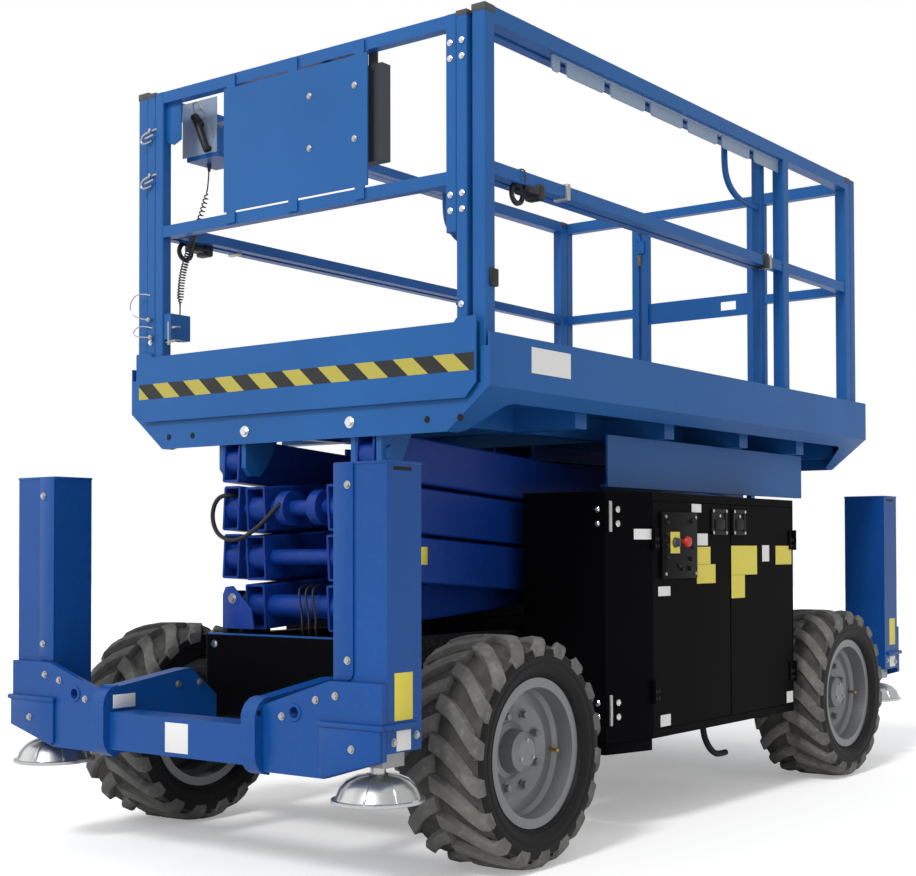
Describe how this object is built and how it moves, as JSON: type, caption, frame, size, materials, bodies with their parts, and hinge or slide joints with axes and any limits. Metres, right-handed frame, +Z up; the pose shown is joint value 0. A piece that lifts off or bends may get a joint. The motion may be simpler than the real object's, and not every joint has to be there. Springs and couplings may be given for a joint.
{
  "type": "scissor lift",
  "caption": "Rough-terrain scissor lift with outriggers, steered lugged wheels, side cabinets and a railed platform with a roll-out deck.",
  "frame": {"origin": "on the ground, at the centre of the machine's plan", "axes": "+X to the machine's side with the ground controls, +Y towards the rear with the entry gate, +Z up"},
  "size_m": [1.7402, 3.722, 2.59],
  "materials": {
    "blue_paint": "satin",
    "deep_blue_paint": "satin",
    "black_paint": "satin",
    "tyre_rubber": "matte",
    "rim_grey": "satin",
    "pad_metal": "satin",
    "bright_steel": "polished",
    "grey_steel": "satin",
    "floor_steel": "satin",
    "dark_plastic": "matte",
    "black_rubber": "matte",
    "battery_case": "matte"
  },
  "bodies": {
    "chassis": {"chassis_frame": "black_paint", "front_axle": "black_paint", "rear_axle": "black_paint", "front_cover": "black_paint", "outrigger_frame_front": "blue_paint", "outrigger_frame_rear": "blue_paint", "cabinet_left": "black_paint", "cabinet_right": "black_paint", "battery_pack_left": "battery_case", "battery_pack_right": "battery_case", "entry_ladder": "blue_paint"},
    "knuckle_left": {"knuckle_left": "black_paint"},
    "knuckle_right": {"knuckle_right": "black_paint"},
    "steering_rod": {"steering_rod": "bright_steel"},
    "inner_1": {"scissor_inner_1": "deep_blue_paint"},
    "outer_1": {"scissor_outer_1": "deep_blue_paint"},
    "inner_2": {"scissor_inner_2": "deep_blue_paint"},
    "outer_2": {"scissor_outer_2": "deep_blue_paint"},
    "inner_3": {"scissor_inner_3": "deep_blue_paint"},
    "outer_3": {"scissor_outer_3": "deep_blue_paint"},
    "barrel": {"cylinder_barrel": "black_paint"},
    "ram": {"cylinder_rod": "bright_steel"},
    "platform": {"platform_deck": "blue_paint", "platform_underframe": "blue_paint", "roller_guides": "blue_paint", "side_plates": "blue_paint", "main_rail_left": "blue_paint", "main_rail_right": "blue_paint", "main_rail_rear": "blue_paint"},
    "gate": {"entry_gate": "blue_paint"},
    "extension": {"extension_deck": "blue_paint", "extension_rail_left": "blue_paint", "extension_rail_right": "blue_paint", "extension_rail_front": "blue_paint", "front_plate": "blue_paint", "manual_box": "dark_plastic", "control_box": "dark_plastic", "control_cord": "black_rubber", "cord_socket": "dark_plastic"},
    "wheel_front_left": {"tyre_front_left": "tyre_rubber", "rim_front_left": "rim_grey"},
    "leg_front_left": {"leg_front_left": "grey_steel", "pad_front_left": "pad_metal"},
    "wheel_front_right": {"tyre_front_right": "tyre_rubber", "rim_front_right": "rim_grey"},
    "leg_front_right": {"leg_front_right": "grey_steel", "pad_front_right": "pad_metal"},
    "wheel_rear_left": {"tyre_rear_left": "tyre_rubber", "rim_rear_left": "rim_grey"},
    "leg_rear_left": {"leg_rear_left": "grey_steel", "pad_rear_left": "pad_metal"},
    "wheel_rear_right": {"tyre_rear_right": "tyre_rubber", "rim_rear_right": "rim_grey"},
    "leg_rear_right": {"leg_rear_right": "grey_steel", "pad_rear_right": "pad_metal"},
    "door_front_left": {"door_front_left": "black_paint"},
    "door_rear_left": {"door_rear_left": "black_paint"},
    "door_front_right": {"door_front_right": "black_paint", "ground_panel": "dark_plastic"},
    "door_rear_right": {"door_rear_right": "black_paint"}
  },
  "joints": [
    {"name": "steer_right", "type": "hinge", "parent": "chassis", "child": "knuckle_right", "pos_m": [0.61, -1.175, 0.35], "axis": [0, 0, 1], "range_deg": [-35, 35]},
    {"name": "steer_left", "type": "hinge", "parent": "chassis", "child": "knuckle_left", "pos_m": [-0.61, -1.175, 0.35], "axis": [0, 0, 1], "range_deg": [-35, 35]},
    {"name": "steering_rod_slide", "type": "slide", "parent": "chassis", "child": "steering_rod", "axis": [1, 0, 0], "range_m": [-0.0718, 0.0718]},
    {"name": "wheel_front_left_spin", "type": "hinge", "parent": "knuckle_left", "child": "wheel_front_left", "pos_m": [-0.7195, -1.175, 0.35], "axis": [1, 0, 0], "continuous": true},
    {"name": "wheel_front_right_spin", "type": "hinge", "parent": "knuckle_right", "child": "wheel_front_right", "pos_m": [0.7195, -1.175, 0.35], "axis": [1, 0, 0], "continuous": true},
    {"name": "wheel_rear_left_spin", "type": "hinge", "parent": "chassis", "child": "wheel_rear_left", "pos_m": [-0.7195, 1.125, 0.35], "axis": [1, 0, 0], "continuous": true},
    {"name": "wheel_rear_right_spin", "type": "hinge", "parent": "chassis", "child": "wheel_rear_right", "pos_m": [0.7195, 1.125, 0.35], "axis": [1, 0, 0], "continuous": true},
    {"name": "leg_front_left_slide", "type": "slide", "parent": "chassis", "child": "leg_front_left", "axis": [0, 0, -1], "range_m": [0, 0.4]},
    {"name": "leg_front_right_slide", "type": "slide", "parent": "chassis", "child": "leg_front_right", "axis": [0, 0, -1], "range_m": [0, 0.4]},
    {"name": "leg_rear_left_slide", "type": "slide", "parent": "chassis", "child": "leg_rear_left", "axis": [0, 0, -1], "range_m": [0, 0.4]},
    {"name": "leg_rear_right_slide", "type": "slide", "parent": "chassis", "child": "leg_rear_right", "axis": [0, 0, -1], "range_m": [0, 0.4]},
    {"name": "lift", "type": "hinge", "parent": "chassis", "child": "inner_1", "pos_m": [0, -1.275, 0.775], "axis": [1, 0, 0], "range_deg": [0, 58.62]},
    {"name": "scissor_centre_1", "type": "hinge", "parent": "inner_1", "child": "outer_1", "pos_m": [0, 0.03249, 0.856], "axis": [1, 0, 0], "range_deg": [-117.26, 0]},
    {"name": "scissor_front_1", "type": "hinge", "parent": "outer_1", "child": "inner_2", "pos_m": [0, -1.275, 0.937], "axis": [1, 0, 0], "range_deg": [0, 117.26]},
    {"name": "scissor_centre_2", "type": "hinge", "parent": "inner_2", "child": "outer_2", "pos_m": [0, 0.03249, 1.018], "axis": [1, 0, 0], "range_deg": [-117.26, 0]},
    {"name": "scissor_front_2", "type": "hinge", "parent": "outer_2", "child": "inner_3", "pos_m": [0, -1.275, 1.099], "axis": [1, 0, 0], "range_deg": [0, 117.26]},
    {"name": "scissor_centre_3", "type": "hinge", "parent": "inner_3", "child": "outer_3", "pos_m": [0, 0.03249, 1.18], "axis": [1, 0, 0], "range_deg": [-117.26, 0]},
    {"name": "platform_pivot", "type": "hinge", "parent": "outer_3", "child": "platform", "pos_m": [0, -1.275, 1.261], "axis": [1, 0, 0], "range_deg": [0, 58.63]},
    {"name": "barrel_pivot", "type": "hinge", "parent": "inner_1", "child": "barrel", "pos_m": [0, 0.62384, 0.85256], "axis": [1, 0, 0], "range_deg": [-114.69, 0]},
    {"name": "ram_slide", "type": "slide", "parent": "barrel", "child": "ram", "axis": [0, -0.9904, 0.1381], "range_m": [0, 0.22505]},
    {"name": "extension_slide", "type": "slide", "parent": "platform", "child": "extension", "axis": [0, -1, 0], "range_m": [0, 1.52]},
    {"name": "gate_hinge", "type": "hinge", "parent": "platform", "child": "gate", "pos_m": [-0.306, 1.364, 2], "axis": [0, 0, -1], "range_deg": [0, 95]},
    {"name": "door_front_left_hinge", "type": "hinge", "parent": "chassis", "child": "door_front_left", "pos_m": [-0.808, -0.409, 0.7], "axis": [0, 0, 1], "range_deg": [0, 110]},
    {"name": "door_rear_left_hinge", "type": "hinge", "parent": "chassis", "child": "door_rear_left", "pos_m": [-0.808, 0.705, 0.7], "axis": [0, 0, -1], "range_deg": [0, 110]},
    {"name": "door_front_right_hinge", "type": "hinge", "parent": "chassis", "child": "door_front_right", "pos_m": [0.808, -0.409, 0.7], "axis": [0, 0, -1], "range_deg": [0, 110]},
    {"name": "door_rear_right_hinge", "type": "hinge", "parent": "chassis", "child": "door_rear_right", "pos_m": [0.808, 0.705, 0.7], "axis": [0, 0, 1], "range_deg": [0, 110]}
  ],
  "couplings": [
    {"joint": "steer_left", "follows": "steer_right", "ratio": 1},
    {"joint": "steering_rod_slide", "follows": "steer_right", "m_per_rad": -0.11737},
    {"joint": "scissor_centre_1", "follows": "lift", "ratio": -2},
    {"joint": "scissor_front_1", "follows": "lift", "ratio": 2},
    {"joint": "scissor_centre_2", "follows": "lift", "ratio": -2},
    {"joint": "scissor_front_2", "follows": "lift", "ratio": 2},
    {"joint": "scissor_centre_3", "follows": "lift", "ratio": -2},
    {"joint": "platform_pivot", "follows": "lift", "ratio": 1},
    {"joint": "barrel_pivot", "follows": "lift", "ratio": -1.9561},
    {"joint": "ram_slide", "follows": "lift", "m_per_rad": 0.21946}
  ]
}
